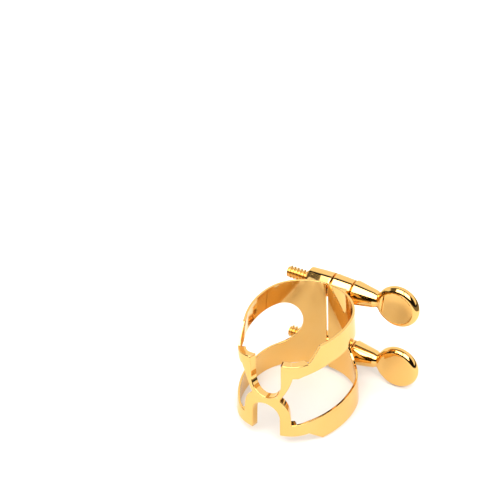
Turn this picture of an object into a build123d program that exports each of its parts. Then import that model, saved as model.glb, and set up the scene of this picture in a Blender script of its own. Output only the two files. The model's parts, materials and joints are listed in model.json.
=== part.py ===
from build123d import *
from math import cos, radians, sin
import os

# Saxophone ligature: a tapered oval spring band whose front is cut to an H-shaped reed plate and
# whose open back is drawn together by two thumbscrews running through posts brazed to the band.
# Millimetres. +Z is the axis of the mouthpiece, towards its tip; the band stands on its wider rim at
# z = 0. The plate faces -Y, the slit is at +Y, and the thumbscrew heads point to +X.

# Band: plan outline at the upper rim, in the middle of the sheet, as arcs tangent to each other
SHEET = 0.5
BAND_HEIGHT = 23.4
GROWTH = 0.064            # how much the outline grows outwards for each millimetre down
FRONT_REACH = 13.1        # from the band's axis to the plate
FRONT_RADIUS = 13.3
FRONT_ANGLE = 18.5
CORNER_RADIUS = 5.5
CORNER_ANGLE = 36.0
SIDE_RADIUS = 19.8
SIDE_ANGLE = 45.0
SLIT_TOP = 0.52
SLIT_BOTTOM = 0.32

# Reed plate: the H that is left between the two notches and the two side windows. It leans a little
# towards -X, so every point of it is moved sideways by its height over PLATE_MIDDLE.
PLATE_LEAN = 0.0485
PLATE_MIDDLE = 10.4
UPPER_NOTCH_RADIUS = 3.5  # each notch ends in a half circle of this radius
LOWER_NOTCH_RADIUS = 3.2
CROSSBAR_LOW = 9.55
CROSSBAR_HIGH = 11.3
PLATE_TOP = 19.95
PLATE_BOTTOM = 2.35
WAIST = (3.16, 11.15)     # half width and height of the narrowest place
UPPER_FLARE = (5.2, 14.05)        # point that draws the edge outwards between the waist and the top
LOWER_FLARE = (5.6, 9.8)
UPPER_LOBE = (5.81, 16.9)
LOWER_LOBE = (5.45, 5.2)
LIP_DEPTH = 1.7           # the turned-in edges, measured from the outside of the sheet
RIM_SLOPE_TOP = (-9.6, -6.9)      # from and to this depth the rim climbs from the plate to its full height
RIM_SLOPE_BOTTOM = (-10.4, -7.6)
LIP_END_TOP = (-9.8, 16.0)        # behind this depth and above this height the upper lips stop
LIP_END_BOTTOM = (-10.6, 5.0)
PLATE_BACK = -9.0         # nothing of the lips reaches farther back than this
FRONT_HALF = -5.0         # cuts made from the front stop here

# Side windows
WINDOW_HIGH = 17.9
WINDOW_LOW = 6.3
WINDOW_KNEE_X = 8.7       # the low corner where the front edges of the window turn into the side's
WINDOW_KNEE_LOW = 5.4
WINDOW_KNEE_HIGH = 17.4
WINDOW_SIDE_START = -10.7
WINDOW_SIDE_HIGH = 17.25
WINDOW_SIDE_INNER = 2.0   # cuts made from the side start at this distance from the middle
WINDOW_END_CENTRE = (9.0, 7.3)
WINDOW_END_TURN = 60.0    # direction in which the rounded end is punched, measured from +X
PUNCH_BEHIND = 4.0
PUNCH_LENGTH = 12.0

# Posts and thumbscrews: both axes run along X
THREAD_RADIUS = 1.4
TAPPED_RADIUS = 1.45
CLEARANCE_RADIUS = 1.55
POST_RADIUS = 2.8         # at the slit
POST_END_RADIUS = 2.55
POST_GAP = 0.36
THREADED_POST_LENGTH = 5.7
PLAIN_POST_LENGTH = 4.5
POST_STANDOFF = 0.2       # brazing gap between a post and the band at the slit
UPPER_POST_Z = 20.65
LOWER_POST_Z = 3.65
POST_EDGE = 0.2
POST_BELLY = 0.45         # share of the length at which the post has lost a third of its taper
BRAZE_HALF_HEIGHT = 1.3
BRAZE_INSET = 0.35        # from the ends of the post
BRAZE_DEPTH = 6.0

SEAT_GAP = 0.05
COLLAR_RADIUS = 2.2
COLLAR_LENGTH = 0.35
CONE_RADIUS = 2.8
CONE_END_RADIUS = 1.95
CONE_EDGE = 0.15
CONE_LENGTH = 4.9
NECK_LENGTH = 2.4         # the part of the stem that lies inside the paddle's edge
NECK_END_RADIUS = 1.1
PADDLE_RADIUS = 4.9
PADDLE_THICKNESS = 2.4
PADDLE_ROUNDING = 1.05
PADDLE_CENTRE_X = 15.45
SCREW_TIP_X = -11.2
SCREW_TIP_CHAMFER = 0.35

FAR = 40.0                # beyond everything
OVER = 1.0                # how far a cut runs past the rims


def outline_arcs():
    """The outline's right half as (centre x, centre y, radius, first heading, last heading)."""
    radii = [FRONT_RADIUS, CORNER_RADIUS, SIDE_RADIUS]
    headings = [0.0, FRONT_ANGLE, FRONT_ANGLE + CORNER_ANGLE, FRONT_ANGLE + CORNER_ANGLE + SIDE_ANGLE]
    x, y = 0.0, FRONT_RADIUS - FRONT_REACH
    arcs = []
    for i, radius in enumerate(radii):
        arcs.append((x, y, radius, headings[i], headings[i + 1]))
        turn = radians(headings[i + 1])
        # the back arc's radius is the one that puts its centre on the plane of symmetry
        following = radii[i + 1] if i + 1 < len(radii) else radius + x / sin(turn)
        x += (radius - following) * sin(turn)
        y -= (radius - following) * cos(turn)
    arcs.append((0.0, y, following, headings[-1], 180.0))
    return arcs


def back_reach():
    """Distance from the band's axis to the middle of the sheet at the back, at the upper rim."""
    _, y, radius, _, _ = outline_arcs()[-1]
    return y + radius


def outline(offset):
    """Closed plan outline, moved outwards by offset."""

    def point(arc, heading, side):
        x, y, radius, _, _ = arc
        turn = radians(heading)
        return side * (x + (radius + offset) * sin(turn)), y - (radius + offset) * cos(turn)

    def bow(arc, side):
        first, last = arc[3], arc[4]
        return ThreePointArc(*[point(arc, h, side) for h in (first, (first + last) / 2, last)])

    front, *flank, back = outline_arcs()
    edges = [bow(arc, side) for arc in flank for side in (1, -1)]
    for arc, end, middle in ((front, front[4], front[3]), (back, back[3], back[4])):
        edges.append(ThreePointArc(*[point(arc, h, side) for h, side in ((end, -1), (middle, 1), (end, 1))]))
    return make_face(edges)


def cone(offset):
    """Filled tapered body of the band's height, with its wall moved outwards by offset."""
    bottom = outline(offset + GROWTH * BAND_HEIGHT)
    top = Pos(0, 0, BAND_HEIGHT) * outline(offset)
    return loft([bottom, top], ruled=True)


def slab_xz(face, y_from, y_to):
    """A sketch drawn in x and z, extruded along Y from y_from to y_to."""
    plane = Plane(origin=(0, y_to, 0), x_dir=(1, 0, 0), z_dir=(0, -1, 0))
    return extrude(plane * face, y_to - y_from)


def slab_yz(points, x_from, x_to):
    """A polygon given in y and z, extruded along X from x_from to x_to."""
    plane = Plane(origin=(x_from, 0, 0), x_dir=(0, 1, 0), z_dir=(1, 0, 0))
    return extrude(plane * make_face(Polyline(*points, close=True)), x_to - x_from)


def leaned(x, z):
    """A point of the H, given as if it stood upright, moved to where its lean puts it."""
    return x - PLATE_LEAN * (z - PLATE_MIDDLE), z


def notch(z_closed, radius, direction, grow=0.0):
    """Round-ended notch in x and z; direction is +1 where it opens upwards and -1 downwards."""
    z_centre = z_closed + direction * radius
    z_open = z_centre + direction * FAR
    reach = radius + grow
    corners = [(reach, z_centre), (reach, z_open), (-reach, z_open), (-reach, z_centre)]
    sides = Polyline(*[leaned(x, z) for x, z in corners])
    x_centre, _ = leaned(0, z_centre)
    end = ThreePointArc(sides @ 0, (x_centre, z_centre - direction * reach), sides @ 1)
    return make_face(sides.edges() + [end])


def upper_notch(grow=0.0):
    return notch(CROSSBAR_HIGH, UPPER_NOTCH_RADIUS, 1, grow)


def lower_notch(grow=0.0):
    return notch(CROSSBAR_LOW, LOWER_NOTCH_RADIUS, -1, grow)


def plate_side(side, shift=0.0):
    """Edge of the H in x and z, from top to bottom, moved by shift towards the centre; side is +1 or -1."""
    chain = [UPPER_LOBE, UPPER_FLARE, WAIST, LOWER_FLARE, LOWER_LOBE]
    points = [leaned(side * (x - shift), z) for x, z in chain]
    return [Bezier(*points[:3]), Bezier(*points[2:])]


def window_front(side):
    """The part of a side window that meets the H, in x and z."""
    upper, lower = plate_side(side)
    knees = [(side * WINDOW_KNEE_X, WINDOW_KNEE_LOW), (side * WINDOW_KNEE_X, WINDOW_KNEE_HIGH)]
    rest = Polyline(lower @ 1, *knees, upper @ 0)
    return make_face([upper, lower] + rest.edges())


def window_flank():
    """The part of the right-hand window that runs along the side, to its rounded end."""
    end_x, end_y = WINDOW_END_CENTRE
    run = [
        (WINDOW_SIDE_START, WINDOW_KNEE_LOW),
        (end_y, WINDOW_LOW),
        (end_y, WINDOW_HIGH),
        (FRONT_HALF, WINDOW_HIGH),
        (WINDOW_SIDE_START, WINDOW_SIDE_HIGH),
    ]
    turn = radians(WINDOW_END_TURN)
    punch = Vector(cos(turn), sin(turn), 0)
    centre = Vector(end_x, end_y, (WINDOW_LOW + WINDOW_HIGH) / 2)
    plane = Plane(origin=centre - punch * PUNCH_BEHIND, z_dir=punch)
    end = extrude(plane * Circle((WINDOW_HIGH - WINDOW_LOW) / 2), PUNCH_LENGTH)
    return slab_yz(run, WINDOW_SIDE_INNER, FAR) + end


def side_lip(side):
    """The strip in x and z that is turned in along one edge of the H."""
    inner, outward = plate_side(side, SHEET), plate_side(side)
    ends = [Line(inner[0] @ 0, outward[0] @ 0), Line(inner[1] @ 1, outward[1] @ 1)]
    return make_face(inner + outward + ends)


def lips(outer):
    """The edges turned in around the H: both notches, both sides, the top and the bottom."""
    depth = outer - cone(SHEET / 2 - LIP_DEPTH)
    strips = [upper_notch(SHEET) - upper_notch(), lower_notch(SHEET) - lower_notch()]
    strips += [side_lip(side) for side in (1, -1)]
    strips += [Pos(0, z) * Rectangle(FAR, SHEET) for z in (PLATE_TOP - SHEET / 2, PLATE_BOTTOM + SHEET / 2)]
    body = Part() + [depth & slab_xz(strip, -FAR, PLATE_BACK) for strip in strips]
    for (y, z), rim in ((LIP_END_TOP, PLATE_TOP), (LIP_END_BOTTOM, PLATE_BOTTOM)):
        body -= slab_yz([(y, rim), (y, z), (0, z), (0, rim)], -FAR, FAR)
    return body


def rim_notches():
    """What is cut from the rims in front, where the H is shorter than the rest of the band."""
    start, full = RIM_SLOPE_TOP
    above = [(-FAR, PLATE_TOP), (start, PLATE_TOP), (full, BAND_HEIGHT), (full, FAR), (-FAR, FAR)]
    start, full = RIM_SLOPE_BOTTOM
    below = [(-FAR, PLATE_BOTTOM), (start, PLATE_BOTTOM), (full, 0), (full, -OVER), (-FAR, -OVER)]
    return slab_yz(above, -FAR, FAR) + slab_yz(below, -FAR, FAR)


def slit():
    """The narrow gap at the back, a little wider at the top."""
    top, bottom = SLIT_TOP / 2, SLIT_BOTTOM / 2
    high, low = BAND_HEIGHT + OVER, -OVER
    shape = Polyline((-bottom, low), (bottom, low), (top, high), (-top, high), close=True)
    return slab_xz(make_face(shape), 0, FAR)


def band():
    outer = cone(SHEET / 2)
    body = outer - cone(-SHEET / 2)
    flank = window_flank()
    for cut in (flank, mirror(flank, about=Plane.YZ)):
        body -= cut
    for side in (1, -1):
        body -= slab_xz(window_front(side), -FAR, FRONT_HALF)
    body += lips(outer)
    for cut in (upper_notch(), lower_notch()):
        body -= slab_xz(cut, -FAR, FRONT_HALF)
    return body - rim_notches() - slit()


def axis_y(z, radius=POST_RADIUS):
    """Distance of a screw's axis from the band's axis: the post stands off the sheet by the braze."""
    return back_reach() + SHEET / 2 + GROWTH * (BAND_HEIGHT - z) + POST_STANDOFF + radius


def on_axis(body, z):
    """Place a body turned about the X axis on the screw axis at height z."""
    return Pos(0, axis_y(z), z) * body


def turned(points):
    """Solid of revolution about X from a profile in x and radius."""
    return revolve(make_face(Polyline(*points, close=True)), Axis.X)


def barrel(start, length, away):
    """A post without its bore: widest at the slit; away is +1 on the plain side, -1 on the other."""
    x0, x1 = start, start + away * length
    edge = away * POST_EDGE
    return turned(
        [
            (x0, 0),
            (x0, POST_RADIUS - POST_EDGE),
            (x0 + edge, POST_RADIUS),
            (x0 + away * length * POST_BELLY, (POST_RADIUS * 2 + POST_END_RADIUS) / 3),
            (x1 - edge, POST_END_RADIUS),
            (x1, POST_END_RADIUS - POST_EDGE),
            (x1, 0),
        ]
    )


def bore(radius):
    return Rot(0, 90, 0) * Cylinder(radius, FAR)


def threaded_post(z):
    body = barrel(-POST_GAP / 2, THREADED_POST_LENGTH, -1)
    return on_axis(body - bore(TAPPED_RADIUS), z)


def plain_post(z):
    body = barrel(POST_GAP / 2, PLAIN_POST_LENGTH, 1)
    return on_axis(body - bore(CLEARANCE_RADIUS), z)


def braze(z, length, away):
    """Brazing metal that fills the wedge between a post and the curved band."""
    middle = away * (POST_GAP + length) / 2
    block = Box(length - 2 * BRAZE_INSET, BRAZE_DEPTH, 2 * BRAZE_HALF_HEIGHT)
    block = Pos(middle, axis_y(z) - BRAZE_DEPTH / 2, z) * block
    post = on_axis(barrel(away * POST_GAP / 2, length, away), z)
    return block - post - cone(SHEET / 2)


def thumbscrew(z):
    """One turned screw: shank, collar, cone, neck and the flattened round head."""
    seat = POST_GAP / 2 + PLAIN_POST_LENGTH + SEAT_GAP
    cone_start = seat + COLLAR_LENGTH
    cone_end = cone_start + CONE_LENGTH
    stem_end = cone_end + NECK_LENGTH
    stem = turned(
        [
            (SCREW_TIP_X, 0),
            (SCREW_TIP_X, THREAD_RADIUS - SCREW_TIP_CHAMFER),
            (SCREW_TIP_X + SCREW_TIP_CHAMFER, THREAD_RADIUS),
            (seat, THREAD_RADIUS),
            (seat, COLLAR_RADIUS),
            (cone_start, COLLAR_RADIUS),
            (cone_start, CONE_RADIUS - CONE_EDGE),
            (cone_start + CONE_EDGE, CONE_RADIUS),
            (cone_end, CONE_END_RADIUS),
            (stem_end, NECK_END_RADIUS),
            (stem_end, 0),
        ]
    )
    disc = Rot(90, 0, 0) * Cylinder(PADDLE_RADIUS, PADDLE_THICKNESS)
    disc = fillet(disc.edges().filter_by(GeomType.CIRCLE), PADDLE_ROUNDING)
    return on_axis(stem + Pos(PADDLE_CENTRE_X, 0, 0) * disc, z)


def nodes():
    parts = {"band": band()}
    for name, z in (("upper", UPPER_POST_Z), ("lower", LOWER_POST_Z)):
        parts[f"{name}_threaded_post"] = threaded_post(z)
        parts[f"{name}_plain_post"] = plain_post(z)
        parts[f"{name}_threaded_post_braze"] = braze(z, THREADED_POST_LENGTH, -1)
        parts[f"{name}_plain_post_braze"] = braze(z, PLAIN_POST_LENGTH, 1)
        parts[f"{name}_thumbscrew"] = thumbscrew(z)
    return parts


def main():
    os.makedirs("parts", exist_ok=True)
    for name, body in nodes().items():
        export_step(body, f"parts/{name}.step")
        box = body.bounding_box()
        print(f"{name:28} {box.min} {box.max}")
    for z in (UPPER_POST_Z, LOWER_POST_Z):
        print("screw axis at y", round(axis_y(z), 3), "z", z)


main()
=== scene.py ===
import json
from math import atan2, ceil, cos, hypot, pi, radians, sin, sqrt, tan

import bmesh
import bpy
from mathutils import Matrix, Vector
from mathutils.geometry import delaunay_2d_cdt
from mathutils.kdtree import KDTree


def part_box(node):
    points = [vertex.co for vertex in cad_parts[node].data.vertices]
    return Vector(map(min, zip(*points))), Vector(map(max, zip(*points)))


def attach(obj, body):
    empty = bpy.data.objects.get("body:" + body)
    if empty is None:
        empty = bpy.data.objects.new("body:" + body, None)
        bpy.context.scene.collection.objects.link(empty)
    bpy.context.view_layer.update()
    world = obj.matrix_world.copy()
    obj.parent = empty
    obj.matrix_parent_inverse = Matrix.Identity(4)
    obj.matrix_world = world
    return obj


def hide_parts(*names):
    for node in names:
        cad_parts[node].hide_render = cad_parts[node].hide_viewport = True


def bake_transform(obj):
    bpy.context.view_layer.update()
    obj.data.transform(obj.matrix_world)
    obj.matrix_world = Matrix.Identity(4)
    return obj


# Gold-plated saxophone ligature: a spring band with an H-shaped reed plate, four posts brazed to it
# and two thumbscrews. Lengths are worked in millimetres and written to the meshes in metres.

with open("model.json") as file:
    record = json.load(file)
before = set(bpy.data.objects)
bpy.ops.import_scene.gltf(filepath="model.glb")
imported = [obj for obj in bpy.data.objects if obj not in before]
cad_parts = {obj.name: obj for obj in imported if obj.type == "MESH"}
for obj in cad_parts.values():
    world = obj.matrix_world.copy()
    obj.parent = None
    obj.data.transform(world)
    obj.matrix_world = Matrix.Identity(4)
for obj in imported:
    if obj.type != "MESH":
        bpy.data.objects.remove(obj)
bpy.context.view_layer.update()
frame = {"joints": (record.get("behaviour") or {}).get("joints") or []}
MM = 0.001

# ---------------------------------------------------------------- sizes, from the frame or as in the CAD


def box_mm(node):
    low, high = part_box(node)
    return low / MM, high / MM


JOINTS = {joint["name"]: joint for joint in frame["joints"]}
TURNS = JOINTS["upper_screw_turn"]["range_deg"][1] / 360
OPENING = JOINTS["opening"]["range_m"][1] / MM
PITCH = OPENING / TURNS
AXES = {level: Vector(JOINTS[f"{level}_screw_turn"]["pos_m"]) / MM for level in ("upper", "lower")}

# The band's plan outline, in the middle of the sheet at the upper rim: arcs tangent to each other
SHEET = 0.5                      # thickness
HEIGHT = box_mm("band")[1].z
GROWTH = 0.064                   # every millimetre downwards adds this to the arcs' radii
FRONT_REACH = 13.1               # from the Z axis to the outline at the front
RADII = [13.3, 5.5, 19.8]        # the fourth follows from these, so that the outline closes
HEADINGS = [0.0, radians(18.5), radians(54.5), radians(99.5), pi]

# The H-shaped plate, the windows and the rims. Pairs are heights, low and high, or x and height.
LEAN = 0.0485                    # the H leans towards -X by this for every millimetre upwards
LEAN_MIDDLE = 10.4               # from this height
LOWER_NOTCH = 3.2                # radii of the notches between the H's legs
UPPER_NOTCH = 3.5
CROSSBAR = (9.55, 11.3)
PLATE = (2.35, 19.95)
WAIST = (3.16, 11.15)            # the H's narrowest place
UPPER_FLARE = (5.2, 14.05)       # its sides are curves drawn towards these
LOWER_FLARE = (5.6, 9.8)
UPPER_LOBE = 5.81                # x of the windows' front corners
LOWER_LOBE = 5.45
LIP = 1.7                        # how deep the turned-in edges are, from the outer face
WINDOW = (6.3, 17.9)
WINDOW_FRONT = (5.2, 16.9)
WINDOW_KNEES = (5.4, 17.25)      # its edges where the front turns into the side, at KNEE_Y
KNEE_Y = -10.7
HIGH_KNEE_Y = -5.0               # the upper edge reaches its full height only here
WINDOW_END = (9.0, 7.3)          # a point of the line, in plan, that its rounded end is centred on
WINDOW_END_WAY = radians(60)     # and that line's direction from +X
RIM_LOW = (-10.4, -7.6)          # y where the lower rim starts to leave the plate's edge, and is full
RIM_HIGH = (-9.6, -6.9)          # the same for the upper rim
SLIT = (0.32, 0.52)              # its width at the lower and the upper rim

# The left prong is bent out of true: by this much at its outer end, fading out downwards to PULL_START
# and along the wall from there to both sides. Mirrored: x counts outwards from the middle.
PULL = (0.25, -1.4, -0.35)
PULL_START = 13.0
PULL_ALONG = (1.5, 8.7, 13.0)

THREAD_RADIUS = 1.4
POST_GAP = 0.36                  # between the two posts of a level

# Searching for a place on the wall
HALVINGS = 40
END_FROM = 0.45                  # the windows' rounded ends lie beyond this share of the half outline
BACK_FROM = 0.6                  # the posts lie beyond this one
PAST_CORNER = 8.0                # x still grows for this far past the second arc


def outline_arcs():
    """Right half of the outline: (centre x, centre y, radius, first heading, last heading) for each arc."""
    x, y = 0.0, RADII[0] - FRONT_REACH
    arcs = []
    for i, radius in enumerate(RADII):
        turn = HEADINGS[i + 1]
        arcs.append((x, y, radius, HEADINGS[i], turn))
        following = RADII[i + 1] if i + 1 < len(RADII) else radius + x / sin(turn)
        x += (radius - following) * sin(turn)
        y -= (radius - following) * cos(turn)
    arcs.append((0.0, y, following, HEADINGS[-2], pi))
    return arcs


ARCS = outline_arcs()


def heading_at(u):
    """The outline's arc and heading at the distance u from the front centre, along the upper rim."""
    rest = abs(u)
    for arc in ARCS:
        length = arc[2] * (arc[4] - arc[3])
        if rest <= length or arc is ARCS[-1]:
            return arc, arc[3] + rest / arc[2]
        rest -= length


HALF_LENGTH = sum(arc[2] * (arc[4] - arc[3]) for arc in ARCS)


def wall(u, z, t=0.0):
    """Point of the band: t is measured outwards from the middle of the sheet."""
    (cx, cy, radius, _, _), turn = heading_at(u)
    reach = radius + GROWTH * (HEIGHT - z) + t
    return Vector((cx + reach * sin(turn), cy - reach * cos(turn), z))


def wall_frame(u, z):
    """Unit vectors of the wall there: outwards, onwards along the outline, and up the slope."""
    _, turn = heading_at(u)
    out = Vector((sin(turn), -cos(turn), GROWTH)).normalized()
    along = Vector((cos(turn), sin(turn), 0))
    return out, along, out.cross(along)


def spread(u, z):
    """How much longer the band is at z than the upper outline, at the same place along it."""
    arc, _ = heading_at(u)
    return (arc[2] + GROWTH * (HEIGHT - z)) / arc[2]


def place(z, target, direction=(1, 0), first=0.0, last=None):
    """The u between first and last at which the wall's plan position along direction equals target."""
    low, high = first, HALF_LENGTH if last is None else last

    def measure(u):
        point = wall(u, z)
        return point.x * direction[0] + point.y * direction[1] - target

    start = measure(low)
    for _ in range(HALVINGS):
        middle = (low + high) / 2
        if (measure(middle) < 0) == (start < 0):
            low = middle
        else:
            high = middle
    return (low + high) / 2


FRONT_END = sum(arc[2] * (arc[4] - arc[3]) for arc in ARCS[:2]) + PAST_CORNER


def from_x(x, z):
    """The u near the front at which the wall is at x."""
    return place(z, x, (1, 0), 0, FRONT_END)


def from_y(y, z):
    """The u at which the wall is at y."""
    return place(z, y, (0, 1), 0, HALF_LENGTH)


# ---------------------------------------------------------------- the band's flat pattern

STEP = 0.3               # spacing of the points of the sheet
FINE = 0.12              # spacing along the turned-in edges
HOOK = 1.0               # how far the turned-in edges go on past a window's corners
WAIST_ROUNDING = 0.4     # the H's narrowest place is rounded off over this length to each side
RUN_OUT = 0.16           # length in which a turned-in edge comes down to nothing
LIP_SHEET = 0.38         # thickness of the turned-in edges, drawn thinner by the bending
STRIP = 0.48             # width of the strip along every edge that its section is drawn on
BEND = 0.18              # outer radius of the turned-in edges
BEND_STEPS = 6
INNER_BEND = 0.05        # chamfer between the sheet's inner face and a turned-in edge
EDGE = 0.07              # rounding of the cut edges
END_STEPS = 48           # steps round a window's end
FLARE_LENGTH = 1.15      # a flare is taken to be this many times as long as the straight line
CORNER = radians(15)     # an outward turn of more than this is a corner
CORNER_MARGIN = 1.05
CLEAR = 0.6              # the sheet's own points keep this share of STEP away from its borders


def segment(a, b, step=STEP):
    """Points from a up to, but not including, b."""
    count = max(1, ceil(hypot(b[0] - a[0], b[1] - a[1]) / step))
    return [(a[0] + (b[0] - a[0]) * i / count, a[1] + (b[1] - a[1]) * i / count) for i in range(count)]


def bow(a, middle, b):
    """Points of the arc from a through middle up to, but not including, b."""
    ax, ay, bx, by, mx, my = *a, *b, *middle
    d = 2 * (ax * (my - by) + mx * (by - ay) + bx * (ay - my))
    ux = ((ax**2 + ay**2) * (my - by) + (mx**2 + my**2) * (by - ay) + (bx**2 + by**2) * (ay - my)) / d
    uy = ((ax**2 + ay**2) * (bx - mx) + (mx**2 + my**2) * (ax - bx) + (bx**2 + by**2) * (mx - ax)) / d
    radius = hypot(ax - ux, ay - uy)
    first, through, last = (atan2(p[1] - uy, p[0] - ux) for p in (a, middle, b))
    turn = (last - first) % (2 * pi)
    if (through - first) % (2 * pi) > turn:
        turn -= 2 * pi
    count = ceil(abs(turn) * radius / FINE)
    angles = [first + turn * i / count for i in range(count)]
    return [(ux + radius * cos(v), uy + radius * sin(v)) for v in angles]


def drawn(a, control, b, s):
    """Point at the share s of the way along the curve from a to b that is drawn towards control."""
    return tuple(a[k] * (1 - s) ** 2 + control[k] * 2 * s * (1 - s) + b[k] * s * s for k in (0, 1))


def flare(a, control, b):
    """Points of that curve from a up to, but not including, b."""
    count = ceil(hypot(b[0] - a[0], b[1] - a[1]) * FLARE_LENGTH / FINE)
    return [drawn(a, control, b, i / count) for i in range(count)]


def on_front(points, side):
    """Points of the upright H in x and z, leaned and moved to the wall's own u and z; side is +1 or -1."""
    return [(from_x(x - side * LEAN * (z - LEAN_MIDDLE), z) if x > FINE / 2 else 0.0, z) for x, z in points]


def outer_edge(side):
    """Outer edge of one half as (kind, points), the metal on the right-hand side of the way round."""
    low, high = CROSSBAR
    bottom, top = PLATE
    u_low, u_high = from_y(RIM_LOW[0], bottom), from_y(RIM_HIGH[0], top)
    u_bottom, u_top = from_y(RIM_LOW[1], 0), from_y(RIM_HIGH[1], HEIGHT)
    slit_low, slit_high = HALF_LENGTH - SLIT[0] / 2, HALF_LENGTH - SLIT[1] / 2
    upper, lower = high + UPPER_NOTCH, low - LOWER_NOTCH
    corner = UPPER_NOTCH * sin(pi / 4)
    upper_arc = bow((0, high), (corner, upper - corner), (UPPER_NOTCH, upper))
    corner = LOWER_NOTCH * sin(pi / 4)
    lower_arc = bow((LOWER_NOTCH, lower), (corner, lower + corner), (0, low))
    prong, leg = on_front([(UPPER_NOTCH, top), (LOWER_NOTCH, bottom)], side)
    upper_side = segment((UPPER_NOTCH, upper), (UPPER_NOTCH, top), FINE)
    lower_side = segment((LOWER_NOTCH, bottom), (LOWER_NOTCH, lower), FINE)
    return [
        ("lip", on_front(upper_arc + upper_side, side)),
        ("lip", segment(prong, (u_high, top), FINE)),
        ("cut", segment((u_high, top), (u_top, HEIGHT))),
        ("cut", segment((u_top, HEIGHT), (slit_high, HEIGHT))),
        ("cut", segment((slit_high, HEIGHT), (slit_low, 0))),
        ("cut", segment((slit_low, 0), (u_bottom, 0))),
        ("cut", segment((u_bottom, 0), (u_low, bottom))),
        ("lip", segment((u_low, bottom), leg, FINE)),
        ("lip", on_front(lower_side + lower_arc + [(0, low)], side)),
    ]


def window_edge(side):
    """Edge of one window, the metal on the right-hand side of the way round."""
    front_low, front_high = WINDOW_FRONT
    low, high = WINDOW
    lower = flare(WAIST, LOWER_FLARE, (LOWER_LOBE, front_low))
    upper = flare((UPPER_LOBE, front_high), UPPER_FLARE, WAIST)
    # the points next to the waist are left out and replaced by a curve drawn towards it
    soft = ceil(WAIST_ROUNDING / FINE)
    bend = flare(upper[-soft], WAIST, lower[soft])
    lower, upper = bend + lower[soft:], upper[:-soft]
    lower_corner, upper_corner = on_front([(LOWER_LOBE, front_low), (UPPER_LOBE, front_high)], side)
    radius, middle = (high - low) / 2, (high + low) / 2
    across = (sin(WINDOW_END_WAY), -cos(WINDOW_END_WAY))
    centre = WINDOW_END[0] * across[0] + WINDOW_END[1] * across[1]
    end = []
    for i in range(END_STEPS + 1):
        angle = -pi / 2 + pi * i / END_STEPS
        z = middle + radius * sin(angle)
        end.append((place(z, centre - radius * cos(angle), across, HALF_LENGTH * END_FROM), z))
    knee_low, bend_high = ((from_y(KNEE_Y, z), z) for z in WINDOW_KNEES)
    knee_high = (from_y(HIGH_KNEE_Y, high), high)
    low_end = (lower_corner[0] + HOOK, lower_corner[1])
    high_end = (upper_corner[0] + HOOK, upper_corner[1])
    return [
        ("lip", on_front(lower, side) + segment(lower_corner, low_end, FINE)),
        ("cut", segment(low_end, knee_low) + segment(knee_low, end[0])),
        ("cut", end[:-1]),
        ("cut", segment(end[-1], knee_high) + segment(knee_high, bend_high) + segment(bend_high, high_end)),
        ("lip", segment(high_end, upper_corner, FINE) + on_front(upper, side)),
    ]


def rounded(corner, facing, onwards):
    """Three points of a section with their normals, rounding the corner between two sides."""
    middle = ((facing[0] + onwards[0]) * sqrt(0.5), (facing[1] + onwards[1]) * sqrt(0.5))
    x = corner[0] - EDGE * (facing[0] + onwards[0])
    y = corner[1] - EDGE * (facing[1] + onwards[1])
    return [(x + EDGE * n[0], y + EDGE * n[1], n) for n in (facing, middle, onwards)]


def lip_profile():
    """Section of a turned-in edge, outer face first: (distance outwards in the sheet, depth t, normal)."""
    half, inner = SHEET / 2, STRIP - LIP_SHEET
    end, flat = half - LIP, STRIP - BEND
    section = [(0, half, (0, 1))]
    for i in range(BEND_STEPS + 1):
        angle = pi / 2 * i / BEND_STEPS
        section.append((flat + BEND * sin(angle), half - BEND * (1 - cos(angle)), (sin(angle), cos(angle))))
    section += rounded((STRIP, end), (1, 0), (0, -1)) + rounded((inner, end), (0, -1), (-1, 0))
    section += [(inner, -half - INNER_BEND, (-1, 0)), (inner - INNER_BEND, -half, (0, -1))]
    return section + [(0, -half, (0, -1))]


def cut_profile():
    """Section of a plain cut edge with the same number of points."""
    half, flat = SHEET / 2, STRIP - EDGE
    outer, inner = BEND_STEPS - 1, BEND_STEPS
    section = [(flat * i / outer, half, (0, 1)) for i in range(outer)]
    section += rounded((STRIP, half), (0, 1), (1, 0)) + rounded((STRIP, -half), (1, 0), (0, -1))
    return section + [(flat * i / inner, -half, (0, -1)) for i in reversed(range(inner))]


SECTIONS = list(zip(cut_profile(), lip_profile()))


def smooth(x):
    """0 below 0, 1 above 1, and an even rise between them."""
    x = min(max(x, 0.0), 1.0)
    return x * x * (3 - 2 * x)


def measure_trail(trail):
    """Step to the next point in the sheet, its length, and the distance along the trail, for each point."""
    spans = []
    for a, b in zip(trail, trail[1:] + trail[:1]):
        spans.append(((b[0] - a[0]) * spread(a[0], a[1]), b[1] - a[1]))
    lengths = [hypot(*span) for span in spans]
    along = [sum(lengths[:i]) for i in range(len(trail))]
    return spans, lengths, along


def clear_corners(trail, closed):
    """The trail without the points so near to an outer corner that their inset lines would cross."""
    spans, _, along = measure_trail(trail)
    reaches = {}
    for i in range(0 if closed else 1, len(trail) if closed else len(trail) - 1):
        (ax, ay), (bx, by) = spans[i - 1], spans[i]
        turn = -atan2(ax * by - ay * bx, ax * bx + ay * by)
        if turn > CORNER:
            reaches[i] = STRIP * tan(turn / 2) * CORNER_MARGIN
    return [
        p for i, p in enumerate(trail)
        if i in reaches or all(abs(along[i] - along[c]) > reach for c, reach in reaches.items())
    ]


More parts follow.
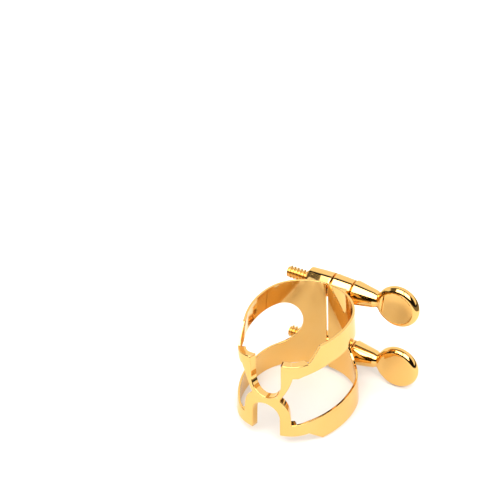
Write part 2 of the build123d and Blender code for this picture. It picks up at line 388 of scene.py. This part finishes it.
def edge_rows(pieces, closed):
    """Points of an edge as (u, z, mitre, normal, share).

    The mitre and the normal lie in the sheet and point out of the metal. The share is how much of the
    turned-in section is there."""
    trail = [(u, z, kind == "lip") for kind, run in pieces for u, z in run]
    trail = clear_corners(trail, closed)
    points, lips = [p[:2] for p in trail], [p[2] for p in trail]
    count = len(points)
    spans, lengths, along = measure_trail(trail)
    total = sum(lengths)
    changes = [along[i] for i in range(count) if (closed or i) and lips[i] != lips[i - 1]]
    rows = []
    for i, (u, z) in enumerate(points):
        sides = [j for j in (i - 1, i) if closed or 0 <= j < count - 1]
        normals = [(-spans[j][1] / lengths[j], spans[j][0] / lengths[j]) for j in sides]
        nu, nz = (sum(n[k] for n in normals) / len(normals) for k in (0, 1))
        square = nu * nu + nz * nz
        gap = min(min(abs(along[i] - c), total - abs(along[i] - c)) for c in changes)
        share = smooth(gap / RUN_OUT) if lips[i] or lips[i - 1] else 0.0
        mitre = (nu / square / spread(u, z), nz / square)
        rows.append((u, z, mitre, (nu / sqrt(square), nz / sqrt(square)), share))
    return rows


def inset(row, distance):
    """The row's point moved into the metal by distance."""
    u, z, mitre = row[:3]
    return u - mitre[0] * distance, z - mitre[1] * distance


def inside(x, y, loop):
    """Whether the point lies within the loop."""
    odd = False
    for (ax, ay), (bx, by) in zip(loop, loop[1:] + loop[:1]):
        if (ay > y) != (by > y) and x < ax + (y - ay) / (by - ay) * (bx - ax):
            odd = not odd
    return odd


def pulled(u, z, side):
    """How far the left prong has been pulled out of true there: most at its outer end."""
    if side > 0:
        return Vector()
    rise = smooth((z - PULL_START) / (PLATE[1] - PULL_START))
    end = smooth((u - PULL_ALONG[0]) / (PULL_ALONG[1] - PULL_ALONG[0]))
    end *= smooth((PULL_ALONG[2] - u) / (PULL_ALONG[2] - PULL_ALONG[1]))
    return Vector(PULL) * (rise * end)


def pulled_normal(normal, u, z, side):
    """The normal turned as the pull turns the sheet."""
    if side > 0:
        return normal
    step = 0.01
    _, along, up = wall_frame(u, z)
    here = pulled(u, z, side)
    lean_u = (pulled(u + step, z, side) - here).dot(normal) / step
    lean_z = (pulled(u, z + step, side) - here).dot(normal) / step
    return (normal - along * lean_u - up * lean_z).normalized()


INSIDE = 1               # the triangulation is asked for the triangles inside the borders only
NEAREST = 1e-7           # points closer than this are taken as one


def band_surface(side):
    """One half of the band, from the middle of the plate to the slit: vertices, normals and faces."""
    outer, hole = edge_rows(outer_edge(side), False), edge_rows(window_edge(side), True)
    outer[0] = (*outer[0][:2], (0, 1), (0, 1), 1.0)
    outer[-1] = (*outer[-1][:2], (0, -1), (0, -1), 1.0)
    borders = [[inset(row, STRIP) for row in rows] for rows in (outer, hole)]
    flat = borders[0] + borders[1]
    edges = []
    for first, border in ((0, borders[0]), (len(borders[0]), borders[1])):
        edges += [(first + i, first + (i + 1) % len(border)) for i in range(len(border))]
    tree = KDTree(len(flat))
    for i, (u, z) in enumerate(flat):
        tree.insert((u, z, 0), i)
    tree.balance()
    columns, levels = ceil(HALF_LENGTH / STEP), ceil(HEIGHT / STEP)
    for i in range(1, columns):
        for j in range(1, levels):
            u, z = HALF_LENGTH * i / columns, HEIGHT * j / levels
            clear = tree.find((u, z, 0))[2] > STEP * CLEAR
            if clear and inside(u, z, borders[0]) and not inside(u, z, borders[1]):
                flat.append((u, z))
    flat = [Vector(p) for p in flat]
    points, _, triangles, origin, _, _ = delaunay_2d_cdt(flat, edges, [], INSIDE, NEAREST)
    number = {old: new for new, olds in enumerate(origin) for old in olds}

    verts, normals, faces = [], [], []
    layers = []
    for sign in (1, -1):
        layers.append(len(verts))
        for u, z in points:
            verts.append(wall(u, z, sign * SHEET / 2) + pulled(u, z, side))
            normals.append(pulled_normal(wall_frame(u, z)[0] * sign, u, z, side))
    for face in triangles:
        u, z = (sum(points[i][k] for i in face) / len(face) for k in (0, 1))
        if not inside(u, z, borders[1]):
            faces.append([layers[0] + i for i in face])
            faces.append([layers[1] + i for i in reversed(face)])
    ends = []
    for rows, first, closed in ((outer, 0, False), (hole, len(outer), True)):
        strips = []
        for i, row in enumerate(rows):
            base = number[first + i]
            strip = [layers[0] + base]
            for (d, t, n), (lip_d, lip_t, lip_n) in SECTIONS[1:-1]:
                share = row[4]
                u, z = inset(row, STRIP - d - (lip_d - d) * share)
                out, along, up = wall_frame(u, z)
                beyond = along * row[3][0] + up * row[3][1]
                face_n = (n[0] + (lip_n[0] - n[0]) * share, n[1] + (lip_n[1] - n[1]) * share)
                strip.append(len(verts))
                verts.append(wall(u, z, t + (lip_t - t) * share) + pulled(u, z, side))
                facing = (beyond * face_n[0] + out * face_n[1]).normalized()
                normals.append(pulled_normal(facing, u, z, side) if share in (0.0, 1.0) else Vector())
            strips.append(strip + [layers[1] + base])
        for a, b in zip(strips, strips[1:] + (strips[:1] if closed else [])):
            faces += [[a[j], a[j + 1], b[j + 1], b[j]] for j in range(len(a) - 1)]
        ends += [strips[0], strips[-1]]
    faces.append(ends[0] + ends[1][::-1])

    def turned_over(vectors):
        return [Vector((side * v[0], v[1], v[2])) for v in vectors]

    return turned_over(verts), turned_over(normals), faces


def make(name, verts, normals, faces, angle=35):
    """A smooth mesh object from points in millimetres.

    It takes the normals given or, without them, has sharp edges from the angle in degrees on."""
    mesh = bpy.data.meshes.new(name)
    mesh.from_pydata([Vector(v) * MM for v in verts], [], faces)
    work = bmesh.new()
    work.from_mesh(mesh)
    bmesh.ops.recalc_face_normals(work, faces=work.faces[:])
    work.to_mesh(mesh)
    work.free()
    mesh.shade_smooth()
    if normals:
        mesh.normals_split_custom_set_from_vertices([tuple(n) for n in normals])
    else:
        mesh.set_sharp_from_angle(angle=radians(angle))
    piece = bpy.data.objects.new(name, mesh)
    bpy.context.scene.collection.objects.link(piece)
    return piece


# ---------------------------------------------------------------- turned parts

AROUND = 96
BARREL = [(0.0, 2.8), (0.45, 2.717), (1.0, 2.55)]    # a post's radius by the share of its length
BARREL_STEPS = 24
POST_EDGE = 0.2          # rounding of the posts' ends
POST_MOUTH = 0.3         # chamfer of their bores
THREADED_PLAY = 0.05     # play round the thread in a threaded post
PLAIN_PLAY = 0.15        # and in a plain one
NUT_GROOVE = 0.06        # half the depth of the threaded posts' grooves
NUT_STEPS = 12           # points along each of their turns
BRAZE_MARGIN = 0.25      # the solder stops this far short of the post's ends
BRAZE_END = 0.6          # length in which it swells to its full width
BRAZE_SUNK = 0.06        # how far it reaches into the post and the wall
BRAZE_LEAST = 0.55       # half its width at its ends
BRAZE_SWELL = (1.75, 0.75, 1.35)    # what is added to that at the foot, the waist and the crown
BRAZE_TURN = 1.2         # how far round the post the crown may reach, in radians
BRAZE_STATIONS = 40
BRAZE_CURVE = 12


def ring_grid(rows, closed=False):
    """Faces between rows of vertex numbers, each row a ring."""
    pairs = list(zip(rows, rows[1:] + (rows[:1] if closed else [])))
    return [[a[i], a[i - 1], b[i - 1], b[i]] for a, b in pairs for i in range(len(a))]


def turned(name, section, axis, angle=30):
    """A ring turned about a line along X through axis, from a closed section (x, r)."""
    verts, rows = [], []
    for x, r in section:
        rows.append(range(len(verts), len(verts) + AROUND))
        for i in range(AROUND):
            turn = 2 * pi * i / AROUND
            verts.append((x, axis.y + r * cos(turn), axis.z + r * sin(turn)))
    return make(name, verts, None, ring_grid(rows, closed=True), angle)


def barrel_radius(share):
    """Post radius from the slit end (0) to the outer end (1)."""
    for (a, ra), (b, rb) in zip(BARREL, BARREL[1:]):
        if share <= b:
            return ra + (rb - ra) * (share - a) / (b - a)
    return BARREL[-1][1]


def make_post(name, level, side, threaded):
    """A barrel-shaped post with its bore, threaded or plain."""
    low, high = box_mm(name)
    inner, outer = (high.x, low.x) if side < 0 else (low.x, high.x)
    length = abs(outer - inner)
    edge, mouth = POST_EDGE, POST_MOUTH
    bore = THREAD_RADIUS + (THREADED_PLAY if threaded else PLAIN_PLAY)
    outside = []
    for i in range(BARREL_STEPS + 1):
        reach = edge + (length - 2 * edge) * i / BARREL_STEPS
        outside.append((inner + side * reach, barrel_radius(reach / length)))
    corner = [radians(15 * i) for i in range(1, 6)]
    rim_out = [(outer - side * edge * (1 - sin(a)), outside[-1][1] - edge * (1 - cos(a))) for a in corner]
    rim_in = [(inner + side * edge * (1 - sin(a)), outside[0][1] - edge * (1 - cos(a))) for a in corner]
    section = outside + rim_out
    section += [(outer, outside[-1][1] - edge), (outer, bore + mouth), (outer - side * mouth, bore)]
    if threaded:
        count = int((length - 2 * mouth) / PITCH * NUT_STEPS)
        for i in range(count - 1, 0, -1):
            x = inner + side * (mouth + (length - 2 * mouth) * i / count)
            section.append((x, bore + NUT_GROOVE * (1 - cos(2 * pi * i / NUT_STEPS))))
    section += [(inner + side * mouth, bore), (inner, bore + mouth), (inner, outside[0][1] - edge)]
    section += rim_in[::-1]
    return turned(name + "_look", section, AXES[level])


def wall_behind(x, z):
    """The y of the outer face of the band's back at x and z."""
    u = place(z, abs(x), (1, 0), HALF_LENGTH * BACK_FROM)
    return wall(u, z, SHEET / 2).y


def make_braze(name, post, level):
    """Solder drawn up between a post and the band: a hollow-sided web that runs out along the post."""
    low, high = box_mm(post)
    axis = AXES[level]
    side = -1 if high.x < 0 else 1
    inner = high.x if side < 0 else low.x
    length = high.x - low.x
    first, last = low.x + BRAZE_MARGIN, high.x - BRAZE_MARGIN
    verts, rows = [], []
    for i in range(BRAZE_STATIONS + 1):
        x = first + (last - first) * (1 - cos(pi * i / BRAZE_STATIONS)) / 2
        gap = min(x - first, last - x)
        swell = sqrt(max(0.0, 1 - (1 - min(gap / BRAZE_END, 1)) ** 2))
        radius = barrel_radius(abs(x - inner) / length) - BRAZE_SUNK
        foot, waist, crown = (BRAZE_LEAST + width * swell for width in BRAZE_SWELL)
        turn = min(crown / radius, BRAZE_TURN)
        ring = []
        for lift in (1, -1):
            top = (axis.y - radius * cos(turn), axis.z + lift * radius * sin(turn))
            base = (wall_behind(x, axis.z + lift * foot) - BRAZE_SUNK, axis.z + lift * foot)
            middle = ((axis.y - radius + base[0]) / 2, axis.z + lift * waist)
            curve = [drawn(base, middle, top, k / BRAZE_CURVE) for k in range(BRAZE_CURVE + 1)]
            ring += curve if lift > 0 else curve[::-1]
        rows.append(range(len(verts), len(verts) + len(ring)))
        verts += [(x, y, z) for y, z in ring]
    faces = ring_grid(rows) + [list(rows[0]), list(rows[-1])]
    return make(name + "_look", verts, None, faces, 50)


# ---------------------------------------------------------------- thumbscrews, on the X axis

COLLAR = (4.73, 5.08, 2.2)   # from x to x, and its radius
CONE = (5.08, 9.98, 2.8, 1.95)    # from x to x, and the radius at each
DISC = (15.45, 4.9)          # x of its middle, and its radius
DISC_HALF = 1.2              # half its thickness
DISC_EDGE = 1.05             # width of the rounding at its rim
RAMP = (12.75, 2.77, 0.75)   # the faces rise from this x, over this length, by this much to meet the cone
RAMP_POWER = 1.5
DISC_HALVINGS = 34
BLEND = (0.25, 0.75)         # reach of the blend between cone and disc, and what is added at the rim
NOSE_TAPER = 0.5             # radius lost for every millimetre past the cone
HEAD_EDGE = 0.22             # rounding of the cone's wide end
NECK = (10.4, 12.8)          # where the cone melts into the disc
HEAD_STEPS = (6, 20, 40, 60)      # stations along the rounding, the cone, the neck and the disc
QUARTER = 36                 # directions in a quarter turn round the head
CROWDING = 1.7               # above 1, they are closer together where the disc's rim is
TIP_CHAMFER = 0.35
GROOVE = 0.42                # depth of the thread
GROOVE_POWER = 1.1           # above 1, its crests are broader than its grooves
SHANK_AROUND = 72
PITCH_STEPS = 16             # stations along each turn of the thread


def disc_reach(x, turn):
    """Distance from the screw's axis to the disc's surface, at x, in the direction turn from +Y."""
    offset = x - DISC[0]
    if abs(offset) >= DISC[1]:
        return 0.0
    low, high = 0.0, hypot(DISC[1], DISC_HALF + RAMP[2])
    y, z = abs(cos(turn)), abs(sin(turn))
    thickest = DISC_HALF + RAMP[2] * (max(0.0, RAMP[0] - x) / RAMP[1]) ** RAMP_POWER
    for _ in range(DISC_HALVINGS):
        reach = (low + high) / 2
        past = (hypot(offset, reach * z) - DISC[1] + DISC_EDGE) / DISC_EDGE
        half = thickest * sqrt(max(0.0, 1 - max(0.0, past) ** 2))
        if past < 1 and reach * y < half:
            low = reach
        else:
            high = reach
    return low


def head_reach(x, turn):
    """The same for the whole head: the cone, drawn down to a nose that melts into the disc."""
    x0, x1, r0, r1 = CONE
    cone = r0 + (r1 - r0) * (x - x0) / (x1 - x0) if x < x1 else max(0.0, r1 - NOSE_TAPER * (x - x1))
    if x - x0 < HEAD_EDGE:
        cone -= HEAD_EDGE - sqrt(max(0.0, HEAD_EDGE**2 - (HEAD_EDGE - x + x0) ** 2))
    disc = disc_reach(x, turn)
    blend = BLEND[0] + BLEND[1] * sin(turn) ** 2
    share = max(blend - abs(cone - disc), 0.0) / blend
    return max(cone, disc) + share * share * blend / 4


def head_point(x, turn):
    """Point of the head's surface, with its axis along X."""
    reach = head_reach(x, turn)
    return Vector((x, reach * cos(turn), reach * sin(turn)))


def head_rows():
    """Stations along the head and directions around it, closer where the form turns quickly."""
    end = DISC[0] + DISC[1]
    cone, (neck, disc) = CONE[0] + HEAD_EDGE, NECK
    edge_steps, cone_steps, neck_steps, disc_steps = HEAD_STEPS
    stations = [CONE[0] + HEAD_EDGE * (1 - cos(pi / 2 * i / edge_steps)) for i in range(edge_steps)]
    stations += [cone + (neck - cone) * i / cone_steps for i in range(cone_steps)]
    stations += [neck + (disc - neck) * i / neck_steps for i in range(neck_steps)]
    stations += [disc + (end - disc) * sin(pi / 2 * i / disc_steps) for i in range(disc_steps)]
    turns = [pi / 2 * (1 - (1 - i / QUARTER) ** CROWDING) for i in range(QUARTER + 1)]
    half = turns[:-1] + [pi - turn for turn in turns[:0:-1]]
    return stations, half + [pi + turn for turn in half], end


def head_surface():
    """Vertices, normals and faces of the head."""
    stations, around, end = head_rows()
    step = 1e-3
    verts, normals, rows = [], [], []
    for x in stations:
        rows.append(range(len(verts), len(verts) + len(around)))
        for turn in around:
            lengthways = head_point(x + step, turn) - head_point(x - step, turn)
            sideways = head_point(x, turn + step) - head_point(x, turn - step)
            verts.append(head_point(x, turn))
            normals.append(lengthways.cross(sideways).normalized() * -1)
    verts.append(Vector((end, 0, 0)))
    normals.append(Vector((1, 0, 0)))
    faces = ring_grid(rows)
    faces += [[rows[-1][i], rows[-1][i - 1], len(verts) - 1] for i in range(len(around))]
    faces.append(list(rows[0]))
    return verts, normals, faces


def shank_surface(tip):
    """Threaded shank with its helix, from the tip to the plain part, and on to the collar and the cone."""
    crest = THREAD_RADIUS
    count = round((POST_GAP / -2 - tip) / PITCH * PITCH_STEPS)
    stations = [tip + i * PITCH / PITCH_STEPS for i in range(count + 1)]
    turns = [2 * pi * i / SHANK_AROUND for i in range(SHANK_AROUND)]
    verts, rows = [], []
    for x in stations:
        rows.append(range(len(verts), len(verts) + SHANK_AROUND))
        limit = crest - max(0.0, TIP_CHAMFER - (x - tip))
        for turn in turns:
            phase = 2 * pi * (x - tip) / PITCH - turn
            groove = GROOVE * (0.5 + 0.5 * cos(phase)) ** GROOVE_POWER
            radius = min(crest - groove, limit)
            verts.append((x, radius * cos(turn), radius * sin(turn)))
    # plain to the collar, hollowed into it, rounded at its rim, and hollowed again into the cone
    start, x0, r = COLLAR
    plain = [(stations[-1] + 0.12, crest), (start - 0.2, crest), (start - 0.12, crest + 0.03)]
    plain += [(start - 0.02, crest + 0.1), (start, crest + 0.2), (start, r - 0.1), (start + 0.03, r - 0.03)]
    plain += [(start + 0.1, r), (x0 - 0.12, r), (x0 - 0.02, r + 0.03), (x0 + 0.1, r + 0.1)]
    for x, radius in plain:
        rows.append(range(len(verts), len(verts) + SHANK_AROUND))
        verts += [(x, radius * cos(turn), radius * sin(turn)) for turn in turns]
    return verts, ring_grid(rows) + [list(rows[0]), list(rows[-1])]


HEAD = head_surface()


def make_screw(level):
    """The two pieces of a thumbscrew: its head and its shank."""
    node = level + "_thumbscrew"
    axis = Vector((0, AXES[level].y, AXES[level].z))
    verts, normals, faces = HEAD
    head = make(node + "_head", [v + axis for v in verts], normals, faces)
    verts, faces = shank_surface(box_mm(node)[0].x)
    shank = make(node + "_shank", [Vector(v) + axis for v in verts], None, faces, 60)
    return head, shank


# ---------------------------------------------------------------- gold

# Scales of the patterns, per metre
CLOUDS = 140.0
HAZE = 420.0
RIPPLES = 260.0
HAIRS = (900.0, 5200.0, 420.0)
# What the plate's colour is multiplied by in its clouds, in its hollows (painted shade) and on its sharp
# edges (paler, partly wear of the plating and partly a painted highlight)
WARM = (1.0, 0.965, 0.9)
HOLLOW_SHADE = (0.95, 0.86, 0.68)
EDGE_WEAR_AND_HIGHLIGHT = (1.0, 1.05, 1.3)


def gold(name, tint, roughness, scratch, seed):
    """Polished gold plate: haze that varies, fine hairlines from wiping, painted shade in the hollows and
    paler sharp edges, partly wear and partly a painted highlight.
    """
    material = bpy.data.materials.new(name)
    material.use_nodes = True
    tree = material.node_tree
    nodes, link = tree.nodes, tree.links.new
    shader = nodes["Principled BSDF"]
    shader.inputs["Metallic"].default_value = 1.0
    shader.inputs["Specular Tint"].default_value = (1.0, 0.95, 0.85, 1.0)

    ways = nodes.new("ShaderNodeTexCoord")
    shift = nodes.new("ShaderNodeMapping")
    shift.inputs["Location"].default_value = (seed, seed * 0.37, -seed)
    link(ways.outputs["Object"], shift.inputs["Vector"])

    def noise(scale, detail, stretch=None):
        node = nodes.new("ShaderNodeTexNoise")
        node.inputs["Scale"].default_value = scale
        node.inputs["Detail"].default_value = detail
        if stretch:
            squeeze = nodes.new("ShaderNodeMapping")
            squeeze.inputs["Scale"].default_value = stretch
            link(shift.outputs["Vector"], squeeze.inputs["Vector"])
            link(squeeze.outputs["Vector"], node.inputs["Vector"])
        else:
            link(shift.outputs["Vector"], node.inputs["Vector"])
        return node.outputs["Fac"]

    def remap(value, from_low, from_high, to_low, to_high):
        node = nodes.new("ShaderNodeMapRange")
        node.inputs["From Min"].default_value = from_low
        node.inputs["From Max"].default_value = from_high
        node.inputs["To Min"].default_value = to_low
        node.inputs["To Max"].default_value = to_high
        link(value, node.inputs["Value"])
        return node.outputs["Result"]

    def mix(share, a, b):
        node = nodes.new("ShaderNodeMix")
        node.data_type = "RGBA"
        for socket, value in ((6, a), (7, b)):
            if isinstance(value, tuple):
                node.inputs[socket].default_value = value
            else:
                link(value, node.inputs[socket])
        link(share, node.inputs["Factor"])
        return node.outputs[2]

    geometry = nodes.new("ShaderNodeNewGeometry")
    # edges: the sharp, convex places, made paler below, partly wear of the plating and partly a painted
    # highlight
    edges = remap(geometry.outputs["Pointiness"], 0.52, 0.6, 0.0, 1.0)
    # hollows: where painted shade goes, a deeper, warmer colour in the concave places
    hollows = remap(geometry.outputs["Pointiness"], 0.40, 0.48, 1.0, 0.0)
    cloud = remap(noise(CLOUDS, 3.0), 0.35, 0.65, 0.0, 1.0)
    warm, painted_shade, pale = ((*(t * s for t, s in zip(tint, shade)), 1.0) for shade in (WARM, HOLLOW_SHADE, EDGE_WEAR_AND_HIGHLIGHT))
    colour = mix(cloud, (*tint, 1.0), warm)
    # painted shade: the colour turns deeper and warmer in the hollows
    colour = mix(hollows, colour, painted_shade)
    # paler sharp edges: partly wear of the plating, partly a painted highlight
    colour = mix(edges, colour, pale)
    link(colour, shader.inputs["Base Color"])

    haze = remap(noise(HAZE, 4.0), 0.3, 0.7, roughness * 0.75, roughness * 1.35)
    hairs = remap(noise(1.0, 2.0, HAIRS), 0.62, 0.72, 0.0, scratch)
    total = nodes.new("ShaderNodeMath")
    total.operation = "ADD"
    link(haze, total.inputs[0])
    link(hairs, total.inputs[1])
    link(total.outputs["Value"], shader.inputs["Roughness"])

    ripple = nodes.new("ShaderNodeBump")
    ripple.inputs["Strength"].default_value = 0.05
    ripple.inputs["Distance"].default_value = 0.00002
    link(noise(RIPPLES, 2.0), ripple.inputs["Height"])
    hairline = nodes.new("ShaderNodeBump")
    hairline.inputs["Strength"].default_value = 0.06
    hairline.inputs["Distance"].default_value = 0.000004
    link(noise(1.0, 2.0, HAIRS), hairline.inputs["Height"])
    link(ripple.outputs["Normal"], hairline.inputs["Normal"])
    link(hairline.outputs["Normal"], shader.inputs["Normal"])
    return material


TINT = (0.81, 0.508, 0.174)
BAND_GOLD = gold("band_gold", TINT, 0.07, 0.10, 1.3)
POST_GOLD = gold("post_gold", TINT, 0.06, 0.08, 4.1)
SCREW_GOLD = gold("screw_gold", TINT, 0.055, 0.08, 7.7)
BRAZE_GOLD = gold("braze_gold", (0.78, 0.52, 0.20), 0.16, 0.05, 9.2)


# ---------------------------------------------------------------- the pieces on their bodies

def dress(piece, material):
    """Give a piece its material."""
    piece.data.materials.append(material)


left, right = (make("band_" + way, *band_surface(side)) for way, side in (("left", -1), ("right", 1)))
for half in (left, right):
    dress(half, BAND_GOLD)
    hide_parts("band")
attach(left, "band")
start = wall(0, CROSSBAR[0]) * MM
end = wall(HALF_LENGTH, CROSSBAR[0]) * MM
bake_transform(right)

for level in ("upper", "lower"):
    for side, kind, body in ((-1, "threaded", "band"), (1, "plain", "free_end")):
        node = f"{level}_{kind}_post"
        post = make_post(node, level, side, kind == "threaded")
        dress(post, POST_GOLD)
        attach(post, body)
        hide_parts(node)
        web = make_braze(node + "_braze", node, level)
        dress(web, BRAZE_GOLD)
        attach(web, body)
        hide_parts(node + "_braze")
    for piece in make_screw(level):
        dress(piece, SCREW_GOLD)
        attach(piece, level + "_screw")
        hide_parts(level + "_thumbscrew")


# ---------------------------------------------------------------- floor, light and camera

FLOOR = 0.58                               # how light the paper is
FLOOR_RADII = (78.0, 2600.0)
FLOOR_STEPS = 12
FLOOR_WAY = Vector((0.6585, 0.7527, 0))    # plan direction from the middle towards the lower paddle
RIM_REACH = 13.4                           # the floor touches the lower rim this far the other way
FLOOR_SLOPE = -1.25 / 36.9                 # the paddle is 1.25 mm below the rim, 36.9 mm from there
DARK = (0.012, 0.010, 0.009)               # the room
BOX = (6.0, 5.85, 5.6)                     # the soft boxes
DIM = (0.16, 0.15, 0.12)                   # the room beside them
GROUND = (0.26, 0.245, 0.22)               # whatever lies below the table
WALL = (1.25, 1.22, 1.18)                  # the pale wall, and a pane to the left
FILLS = 6
FILL_POWER = 2.4
FILL_SIZE = 0.35
FILL_REACH = 0.6
FILL_HEIGHT = 0.14
FILL_COLOUR = (1.0, 0.93, 0.88)
FOCAL_LENGTH = 158.76
SENSOR = 36.0
CAMERA_TURN = radians(29.41864)
CAMERA_RISE = radians(34.96401)
CAMERA_PLACE = (173.795, -328.696, 300.004)


def paper():
    """Matt paper with a faint grain."""
    material = bpy.data.materials.new("paper")
    material.use_nodes = True
    nodes, link = material.node_tree.nodes, material.node_tree.links.new
    shader = nodes["Principled BSDF"]
    shader.inputs["Roughness"].default_value = 0.9
    shader.inputs["Specular IOR Level"].default_value = 0.1
    grain = nodes.new("ShaderNodeTexNoise")
    grain.inputs["Scale"].default_value = 900.0
    ramp = nodes.new("ShaderNodeValToRGB")
    ramp.color_ramp.elements[0].color = (FLOOR - 0.01, FLOOR - 0.011, FLOOR - 0.013, 1)
    ramp.color_ramp.elements[1].color = (FLOOR + 0.01, FLOOR + 0.009, FLOOR + 0.007, 1)
    link(grain.outputs["Fac"], ramp.inputs["Fac"])
    link(ramp.outputs["Color"], shader.inputs["Base Color"])
    return material


def make_floor():
    """The surface the ligature stands on, touching the lower rim on one side and the lower paddle.

    Its outer part isn't seen in the gold, which shows the world's dim ground there instead."""
    material = paper()
    near, far = FLOOR_RADII
    inner = [near * i / FLOOR_STEPS for i in range(1, FLOOR_STEPS + 1)]
    for name, radii in (("floor", inner), ("floor_outer", [near, near * 3, far])):
        verts, rows = [], []
        for radius in radii:
            rows.append(range(len(verts), len(verts) + AROUND))
            for i in range(AROUND):
                x, y = radius * cos(2 * pi * i / AROUND), radius * sin(2 * pi * i / AROUND)
                verts.append((x, y, FLOOR_SLOPE * (Vector((x, y, 0)).dot(FLOOR_WAY) + RIM_REACH)))
        faces = ring_grid(rows) + ([list(rows[0])] if name == "floor" else [])
        floor = make(name, verts, None, faces)
        floor.data.materials.append(material)
        floor.visible_glossy = name == "floor"


def make_world():
    """A studio round the table: soft boxes in front and above, a pale wall behind, dim ground far off.

    Its masks are in x, y and z of the direction, or in swing: degrees up from the front, about X."""
    world = bpy.data.worlds.new("studio")
    bpy.context.scene.world = world
    world.use_nodes = True
    tree = world.node_tree
    nodes, link = tree.nodes, tree.links.new
    background = nodes["Background"]
    ways = nodes.new("ShaderNodeTexCoord")
    split = nodes.new("ShaderNodeSeparateXYZ")
    link(ways.outputs["Generated"], split.inputs["Vector"])
    x, y, z = (split.outputs[key] for key in "XYZ")

    def maths(operation, *values):
        node = nodes.new("ShaderNodeMath")
        node.operation = operation
        for socket, value in zip(node.inputs, values):
            if isinstance(value, (int, float)):
                socket.default_value = value
            else:
                link(value, socket)
        return node.outputs["Value"]

    def between(value, low, high, soft):
        """1 from low to high, falling to 0 within soft outside them."""
        up = maths("DIVIDE", maths("SUBTRACT", value, low - soft), soft)
        down = maths("DIVIDE", maths("SUBTRACT", high + soft, value), soft)
        node = nodes.new("ShaderNodeClamp")
        link(maths("MINIMUM", up, down), node.inputs["Value"])
        return node.outputs["Result"]

    def paint(share, under, colour):
        node = nodes.new("ShaderNodeMix")
        node.data_type = "RGBA"
        link(share, node.inputs["Factor"])
        if isinstance(under, tuple):
            node.inputs[6].default_value = (*under, 1)
        else:
            link(under, node.inputs[6])
        node.inputs[7].default_value = (*colour, 1)
        return node.outputs[2]

    swing = maths("MULTIPLY", maths("ARCTAN2", z, maths("MULTIPLY", y, -1.0)), 180 / pi)
    upper_wall = maths("MULTIPLY", between(swing, 113, 180, 3), between(z, 0.12, 2.0, 0.05))
    lower_wall = maths("MULTIPLY", between(y, 0.25, 2.0, 0.1), between(x, -2.0, 0.1, 0.1))
    lower_wall = maths("MULTIPLY", lower_wall, between(z, -2.0, 0.2, 0.05))
    lights = maths("MAXIMUM", between(x, -0.41, 0.10, 0.03), between(x, 0.20, 0.64, 0.03))
    box_share = maths("MULTIPLY", between(swing, 36, 91, 3), lights)
    dim_share = maths("MULTIPLY", between(swing, 30, 91, 6), between(x, -2.0, -0.41, 0.05))
    # a pane to the left, seen in the cut edges that face up and left
    pane = maths("MULTIPLY", between(x, -2.0, -0.76, 0.04), between(z, 0.26, 0.56, 0.05))
    bright = maths("MAXIMUM", maths("MAXIMUM", upper_wall, lower_wall), pane)
    around = paint(between(z, -2.0, -0.1, 0.08), DARK, GROUND)
    walls = paint(bright, paint(dim_share, around, DIM), WALL)
    link(paint(box_share, walls, BOX), background.inputs["Color"])


def make_fill():
    """Low soft lamps all round that lighten the shadows and aren't seen in the gold."""
    for i in range(FILLS):
        turn = 2 * pi * (i + 0.5) / FILLS
        lamp = bpy.data.lights.new("fill", "AREA")
        lamp.energy = FILL_POWER
        lamp.size = FILL_SIZE
        lamp.color = FILL_COLOUR
        holder = bpy.data.objects.new("fill", lamp)
        holder.location = (FILL_REACH * cos(turn), FILL_REACH * sin(turn), FILL_HEIGHT)
        holder.rotation_euler = (radians(80), 0, turn + pi / 2)
        holder.visible_glossy = False
        bpy.context.scene.collection.objects.link(holder)


def make_camera():
    """The photograph's camera."""
    data = bpy.data.cameras.new("camera")
    data.lens = FOCAL_LENGTH
    data.sensor_width = SENSOR
    data.clip_start = 0.01
    camera = bpy.data.objects.new("camera", data)
    turn, rise = CAMERA_TURN, CAMERA_RISE
    back = Vector((sin(turn) * cos(rise), -cos(turn) * cos(rise), sin(rise)))
    across = Vector((cos(turn), sin(turn), 0))
    above = back.cross(across)
    pose = Matrix((across, above, back)).transposed().to_4x4()
    pose.translation = Vector(CAMERA_PLACE) * MM
    camera.matrix_world = pose
    bpy.context.scene.collection.objects.link(camera)
    bpy.context.scene.camera = camera


make_floor()
make_world()
make_fill()
make_camera()
bpy.context.scene.view_settings.view_transform = "Standard"
